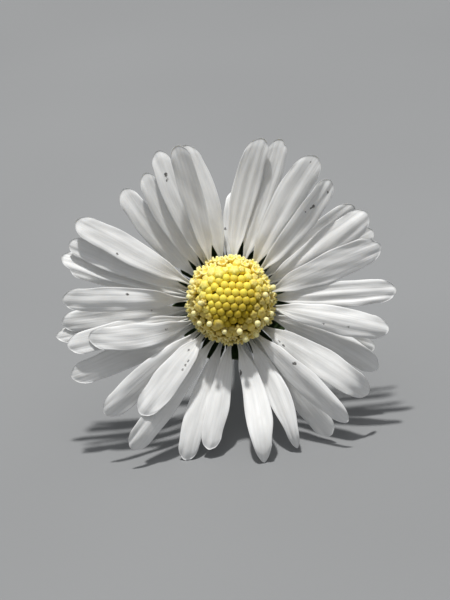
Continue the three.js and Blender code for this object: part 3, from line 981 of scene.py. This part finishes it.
def disc_places(settings):
    """Where the florets stand: their radius, angle, slope of the dome, and kind.

    The dome is laid out flat by its arc length. Its middle holds a honeycomb and its rim a spiral. Large buds
    and knobbed florets have places of their own, and a free floret too close to one is left out.
    """
    radius = settings.radius * np.sin(np.linspace(0, 0.495 * math.pi, 600))
    slope = np.gradient(disc_height(settings, radius), radius)
    arc = np.concatenate([[0], np.cumsum(np.hypot(*np.diff([radius, disc_height(settings, radius)])))])
    pitch = settings.spacing
    own = np.concatenate([np.array(LARGE_BUDS), KNOB_FOOT * np.array(POLLEN_KNOBS)])
    own = own * (np.interp(np.hypot(*own.T), radius, arc) / np.hypot(*own.T))[:, None]
    free = np.concatenate([comb_places(pitch), rim_places(pitch, arc)])
    free = free[np.linalg.norm(free[:, None] - own, axis=-1).min(axis=1) > OWN_ROOM * pitch]
    points = np.concatenate([own, free])
    push_apart(points, len(own), pitch, arc[-1])
    r = np.interp(np.hypot(*points.T), arc, radius)
    tilt = np.arctan(-np.interp(r, radius, slope))
    kind = np.repeat([LARGE_BUD, KNOB, 0], [len(LARGE_BUDS), len(POLLEN_KNOBS), len(free)])
    return np.stack([r, np.arctan2(points[:, 1], points[:, 0]), tilt, kind])


def floret_feet(settings, places, lean, sink):
    """Feet and directions of florets, which lean by a share of the dome's slope and stand sink deep in it."""
    r, angle, tilt, _ = places
    outward = np.stack([np.cos(angle), np.sin(angle), 0 * angle], axis=-1)
    direction = np.sin(tilt * lean)[:, None] * outward + np.cos(tilt * lean)[:, None] * np.array([0, 0, 1.0])
    surface = r[:, None] * outward
    surface[:, 2] = disc_height(settings, r)
    surface[:, 1] += DISC_SHIFT
    return surface - sink * direction, direction


def add_florets(skin, settings, places, profile, per_lobe, lean, sink, wide, tall, tone):
    """Adds florets that share one turned profile, each with a width, a height and a tone of its own.

    The profile's radii times the width and its heights times the height are turned round the floret's axis.
    All columns but those between the lobes get what a lobe adds.
    """
    foot, direction = floret_feet(settings, places, lean, sink)
    count, columns = len(foot), LOBES * per_lobe
    lobe = np.where(np.arange(columns) % per_lobe, 1.0, 0.0)
    out, up, lobe_out, lobe_up, pollen = profile.T[..., None]
    radius, height = out + lobe_out * lobe, up + lobe_up * lobe
    theta = round_angles(columns) + ((places[0] * TURN_PER_MM) % TURN_LIMIT)[:, None]
    ring = rings_about(theta, *frames_about(direction))
    grid = foot[:, None, None] + wide[:, None, None, None] * radius[None, ..., None] * ring[:, None]
    grid += tall[:, None, None, None] * height[None, ..., None] * direction[:, None, None]
    poles = grid[:, [0, -1]].mean(axis=2)
    points = np.concatenate([grid.reshape(count, -1, 3), poles], axis=1)
    size = points.shape[1]
    skin.add(
        from_head(points),
        repeated(closed_tube_faces(len(profile), columns), size, count),
        tone=np.repeat(tone, size),
        rise=np.tile(np.append(height, [0, height[-1].max()]), count),
        pollen=np.tile(np.append(np.repeat(pollen, columns), [0, pollen[-1, 0]]), count),
    )


class DAISY_OT_disc_buds(bpy.types.Operator):
    """Build the closed florets in the middle of the disc, the outer ones about to open"""

    bl_idname = "daisy.disc_buds"
    bl_label = "Closed florets"

    def execute(self, context):
        settings = context.scene.daisy_disc
        places = disc_places(settings)
        r, angle, _, kind = places
        rng = np.random.default_rng(BUD_SEED)
        below = r * np.cos(angle + 1.15)  # the buds of the lower side get a deeper colour: painted shade of the side of the dome turned from the light
        large = kind == LARGE_BUD
        tone = 0.85 - 0.65 * smoothstep(below, -0.4, 1.1) + rng.uniform(-0.15, 0.15, len(r)) + 0.2 * large
        tone = np.clip(tone, 0, 1)
        size = rng.uniform(1.0, 1.1, len(r)) + 0.28 * large
        inner = (r < BUD_EDGE) & (kind < KNOB)
        opening = inner & (r >= OPENING_RADIUS)
        skin = Skin()
        for profile, pick, added in ((CLOSED_BUD, inner & ~opening, 0), (OPENING_BUD, opening, 0.08)):
            wide, tall = size[pick] + added, size[pick] ** 0.5 + added
            add_florets(skin, settings, places[:, pick], profile, 2, 0.7, 0.92, wide, tall, tone[pick])
        skin.make("closed_florets", ["bud_yellow"], ["disc_buds"])
        return {"FINISHED"}


class DAISY_OT_disc_open_florets(bpy.types.Operator):
    """Build the open florets round the edge of the disc, some with a ball of pollen over their lobes"""

    bl_idname = "daisy.disc_open_florets"
    bl_label = "Open florets"

    def execute(self, context):
        settings = context.scene.daisy_disc
        places = disc_places(settings)
        r, angle, _, kind = places
        rng = np.random.default_rng(FLORET_SEED)
        # painted light and shade: the florets' tone rises towards the top of the face and falls towards the
        # bottom, with a random spread of its own
        tone = np.clip(0.5 + 0.45 * np.sin(angle) + rng.uniform(-0.35, 0.35, len(r)), 0, 1)
        knob = kind == KNOB
        outer = (r >= BUD_EDGE) & ~knob
        bud = outer & ((r < OPEN_RADIUS) | (kind == LARGE_BUD))
        skin = Skin()
        for profile, pick, per_lobe, lean, sink, width, height in (
            (OPENING_BUD, bud, 2, 0.85, 0.85, 1.15, 0),
            (OPEN_FLORET, outer & ~bud, 3, 0.85, 0.8, 1.15, 0),
            (KNOB_FLORET, knob, 3, 0.75, 0.92, 1.0, 0.2),
        ):
            lean = lean + rng.uniform(-0.16, 0.16, pick.sum())
            wide = width + rng.uniform(-0.15, 0.15, pick.sum())
            tall = height + rng.uniform(0.88, 1.2, pick.sum())
            where = places[:, pick]
            add_florets(skin, settings, where, profile, per_lobe, lean, sink, wide, tall, tone[pick])
        skin.make("open_florets", ["open_floret_yellow"], ["disc_open_florets"])
        return {"FINISHED"}


# ---- receptacle, bracts and stem


class DAISY_OT_receptacle(bpy.types.Operator):
    """Build the receptacle, the solid heart of the head"""

    bl_idname = "daisy.receptacle"
    bl_label = "Receptacle"

    def execute(self, context):
        rows, columns = RECEPTACLE_GRID
        corners = RECEPTACLE_PROFILE.T
        step = np.concatenate([[0], np.cumsum(np.hypot(*np.diff(corners)))])
        t = np.linspace(0, step[-1], rows)
        radius, height = np.interp(t, step, corners[0]), np.interp(t, step, corners[1])
        theta = round_angles(columns)
        ribs = 1 + 0.015 * np.sin(13 * theta)[None, :] * smoothstep(-height, 0.5, 2.0)[:, None]
        ring = np.stack([np.cos(theta), np.sin(theta), 0 * theta], axis=-1)
        grid = (radius[:, None] * ribs)[..., None] * ring
        grid[..., 2] = height[:, None]
        poles = grid[[0, -1]].mean(axis=1)
        skin = Skin()
        add_tube(skin, from_head(grid), from_head(poles), t / t[-1], 0.5, smoothstep(height, -0.1, 0.4))
        skin.make("heart_of_head", ["receptacle_flesh"], ["receptacle"])
        return {"FINISHED"}


def bract_surface(i):
    """The middle surface of one bract, its thickness, the shares along and the places across.

    Its middle line is a Bezier curve from the receptacle's foot out and up under the petals. The half width
    grows towards the tip, which is rounded as an ellipse. A keel, a parabola across, stands out below, and
    low ribs run along as a cosine across.
    """
    along, across = blade_grid(0, *BRACT_GRID)
    share = along - 0.17 * (1 - np.maximum(1 - across**2, 0) ** 0.5) * along**4
    stagger = LAST_STAGGER if i == BRACT_COUNT - 1 else BRACT_STAGGER * (i % 2)
    path = bezier(share, BRACT_PATH + stagger * BRACT_OUTWARD)
    half = BRACT_HALF_WIDTH * (0.4 + 0.6 * smoothstep(along, -0.1, 0.55))
    half = half * (1 + 0.22 * smoothstep(along, 0.45, 0.8)) * (1 + 0.05 * np.sin(9 * along + i))
    keel = 0.1 * (1 - across**2) * (1 - 0.5 * along) + 0.04 * np.cos(9.4 * across) * smoothstep(along, 0, 0.3)
    angle = 2 * math.pi * i / BRACT_COUNT
    outward = np.array([math.cos(angle), math.sin(angle), 0])
    sideways = np.array([-math.sin(angle), math.cos(angle), 0])
    middle = (path[..., 0] + 0.5 * keel)[..., None] * outward + (across * half)[..., None] * sideways
    middle[..., 2] += path[..., 1] - keel
    return middle, blade_thickness(BRACT_THICKNESS, along, across, 0.9, 0.7), share, across


class DAISY_OT_bracts(bpy.types.Operator):
    """Build the green bracts under the petals, with their fine hairs"""

    bl_idname = "daisy.bracts"
    bl_label = "Bracts"

    def execute(self, context):
        greens = context.scene.daisy_greens
        hairs = greens.bract_hairs
        rng = np.random.default_rng(BRACT_SEED)
        rows, columns = BRACT_GRID
        faces = blade_faces(rows, columns)
        for i in range(BRACT_COUNT):
            middle, thick, share, across = bract_surface(i)
            points, normals = closed_blade(middle, thick)
            inside = around_blade(np.ones(share.shape), 0)  # 1 on the side towards the petals, which is painted darker as shade
            skin = Skin()
            skin.add(from_head(points), faces, uv=blade_uv(share, across), tone=rng.uniform(), crown=inside)
            pick = rng.integers(1, rows - 1, hairs), rng.integers(1, columns - 1, hairs)
            away = -normals[pick]
            lean = unit(away + 0.6 * rng.normal(size=away.shape))
            roots = middle[pick] + 0.5 * thick[pick][:, None] * away
            lengths = greens.hair_length * rng.uniform(0.6, 1.2, hairs)
            droop = 0.12 * rng.normal(size=roots.shape)
            add_hairs(skin, from_head(roots), lean @ AXES, lengths, droop)
            node = f"bract_{i + 1:02d}"
            skin.make(f"green_{node}", ["bract_green", "white_hair"], [node])
        return {"FINISHED"}


class DAISY_OT_stem(bpy.types.Operator):
    """Build the stem from the head down to its cut end, with its fine hairs"""

    bl_idname = "daisy.stem"
    bl_label = "Stem"

    def execute(self, context):
        greens = context.scene.daisy_greens
        hairs = greens.stem_hairs
        rng = np.random.default_rng(STEM_SEED)
        rows, columns = STEM_GRID
        # the middle line is a Bezier curve from the head, down to the floor and along it to the cut end
        end = np.array([HEAD_ORIGIN[0] + STEM_END[0], HEAD_ORIGIN[1] + STEM_END[1], STEM_END[2]])
        run = end - STEM_RUN * np.array([math.sin(STEM_RUN_TURN), math.cos(STEM_RUN_TURN), 0])
        t = np.linspace(0, 1, rows)
        line = bezier(t, [from_head([0, 0, STEM_TOP]), from_head([0, 0, STEM_NECK]), run, end])
        tangent = unit(np.gradient(line, axis=0))
        side = unit(np.cross(tangent, [0, 0, 1.0]))
        above = np.cross(side, tangent)
        # the radius falls in two smooth steps below the head, and six low ribs wind along the stem
        t = t[:, None]
        theta = round_angles(columns)
        radius = STEM_RADIUS + 0.6 - 0.32 * smoothstep(t, 0, 0.03) - 0.28 * smoothstep(t, 0, 0.12)
        radius = radius * (1 + 0.03 * np.cos(6 * theta + 2.5 * t) + 0.015 * np.sin(11 * t + 2 * theta))
        # rows run from the head to the cut end, so the columns run clockwise about the direction of growth
        ring = rings_about(theta, side, -above)
        grid = line[:, None] + radius[..., None] * ring
        rim = radius[-1][:, None] * ring[-1]
        cut = [line[-1] - sunk * tangent[-1] + share * rim for share, sunk in CUT_RINGS]
        poles = np.stack([line[0], line[-1] - CUT_DEPTH * tangent[-1]])
        reach = STEM_UV_LENGTH * np.append(t, np.ones(len(cut)))
        skin = Skin()
        add_tube(skin, np.concatenate([grid, cut]), poles, reach, 0.3, np.arange(len(reach)) >= rows)
        pick = rng.integers(2, rows - 2, hairs), rng.integers(0, columns, hairs)
        roots, away = grid[pick], ring[pick]
        lean = unit(away - 0.5 * tangent[pick[0]] + 0.35 * rng.normal(size=away.shape))
        lengths = greens.hair_length * rng.uniform(0.6, 1.3, hairs)
        keep = (roots + lean * lengths[:, None])[:, 2] > HAIR_CLEARANCE
        droop = 0.1 * rng.normal(size=roots.shape)
        droop[:, 2] = np.abs(droop[:, 2])
        add_hairs(skin, roots[keep], lean[keep], lengths[keep], droop[keep])
        skin.make("curved_stem", ["stem_green", "white_hair"], ["stem"])
        return {"FINISHED"}


# ---- the stage


def aim(thing, place, target, up):
    """Puts a light or camera at a place in metres, looking at a target, with up upwards in its view."""
    back = unit(np.asarray(place) - np.asarray(target))
    right = unit(np.cross(up, back))
    turn = Matrix(np.stack([right, np.cross(back, right), back], axis=1).tolist())
    thing.matrix_world = Matrix.Translation(Vector(place)) @ turn.to_4x4()


class DAISY_OT_stage(bpy.types.Operator):
    """Set up the floor, the lights and the camera that looks straight at the face"""

    bl_idname = "daisy.stage"
    bl_label = "Floor, lights and camera"

    def execute(self, context):
        stage = context.scene.daisy_stage
        scene = context.scene
        plain_finish("floor_pale", stage.floor[:], 0.85, 0.02)
        mesh = bpy.data.meshes.new("floor")
        corners = [(x * FLOOR_HALF, y * FLOOR_HALF, 0) for x, y in ((-1, -1), (1, -1), (1, 1), (-1, 1))]
        mesh.from_pydata(corners, [], [(0, 1, 2, 3)])
        mesh.materials.append(bpy.data.materials["floor_pale"])
        floor = new_object("floor", mesh)

        face = (HEAD_ORIGIN + FACE_HEIGHT * OUT_OF_FACE) * MM
        for name, direction, distance, size, colour in LAMPS:
            light = bpy.data.lights.new(name, "AREA")
            light.shape = "DISK"
            light.size = size
            light.energy = getattr(stage, f"{name}_power")
            light.color = colour
            place = face + distance * unit(np.array(direction)) @ AXES
            aim(new_object(name, light), place, face, np.array([0, 1.0, 0]))

        world = bpy.data.worlds.new("surround")
        world.use_nodes = True
        background = world.node_tree.nodes["Background"]
        background.inputs["Color"].default_value = SURROUND
        background.inputs["Strength"].default_value = stage.ambient
        scene.world = world
        scene.view_settings.view_transform = "Standard"

        lens = bpy.data.cameras.new("camera")
        lens.sensor_width = SENSOR
        lens.lens = SENSOR * stage.distance / VIEW_HEIGHT
        lens.clip_start = 0.01
        lens.clip_end = 20
        camera = new_object("camera", lens)
        target = face + (VIEW_MIDDLE[0] * RIGHT + VIEW_MIDDLE[1] * UP_FACE) * MM
        aim(camera, target + stage.distance * OUT_OF_FACE, target, UP_FACE)
        scene.camera = camera
        return {"FINISHED"}


# ---- the add-on


class DAISY_PT_panel(bpy.types.Panel):
    """The daisy's sizes, colours and pieces"""

    bl_idname = "DAISY_PT_panel"
    bl_label = "Daisy"
    bl_space_type = "VIEW_3D"
    bl_region_type = "UI"
    bl_category = "Daisy"

    def draw(self, context):
        for operator in OPERATORS:
            self.layout.operator(operator.bl_idname)
        for name in SETTINGS:
            settings = getattr(context.scene, name)
            box = self.layout.box()
            for key in settings.__annotations__:
                box.prop(settings, key)


OPERATORS = (
    DAISY_OT_materials,
    DAISY_OT_petals,
    DAISY_OT_disc_buds,
    DAISY_OT_disc_open_florets,
    DAISY_OT_receptacle,
    DAISY_OT_bracts,
    DAISY_OT_stem,
    DAISY_OT_stage,
)
SETTINGS = {
    "daisy_petals": DaisyPetals,
    "daisy_disc": DaisyDisc,
    "daisy_greens": DaisyGreens,
    "daisy_stage": DaisyStage,
}


def register():
    """Registers the classes and gives each scene its settings."""
    for kind in (*SETTINGS.values(), *OPERATORS, DAISY_PT_panel):
        bpy.utils.register_class(kind)
    for name, kind in SETTINGS.items():
        setattr(bpy.types.Scene, name, PointerProperty(type=kind))


def unregister():
    """Takes back what register did, in the opposite order."""
    for name in SETTINGS:
        delattr(bpy.types.Scene, name)
    for kind in (DAISY_PT_panel, *reversed(OPERATORS), *reversed(SETTINGS.values())):
        bpy.utils.unregister_class(kind)


def main():
    """Builds the daisy and its stage."""
    register()
    bpy.ops.daisy.materials()
    bpy.ops.daisy.petals()
    bpy.ops.daisy.disc_buds()
    bpy.ops.daisy.disc_open_florets()
    bpy.ops.daisy.receptacle()
    bpy.ops.daisy.bracts()
    bpy.ops.daisy.stem()
    bpy.ops.daisy.stage()


if __name__ == "__main__":
    main()
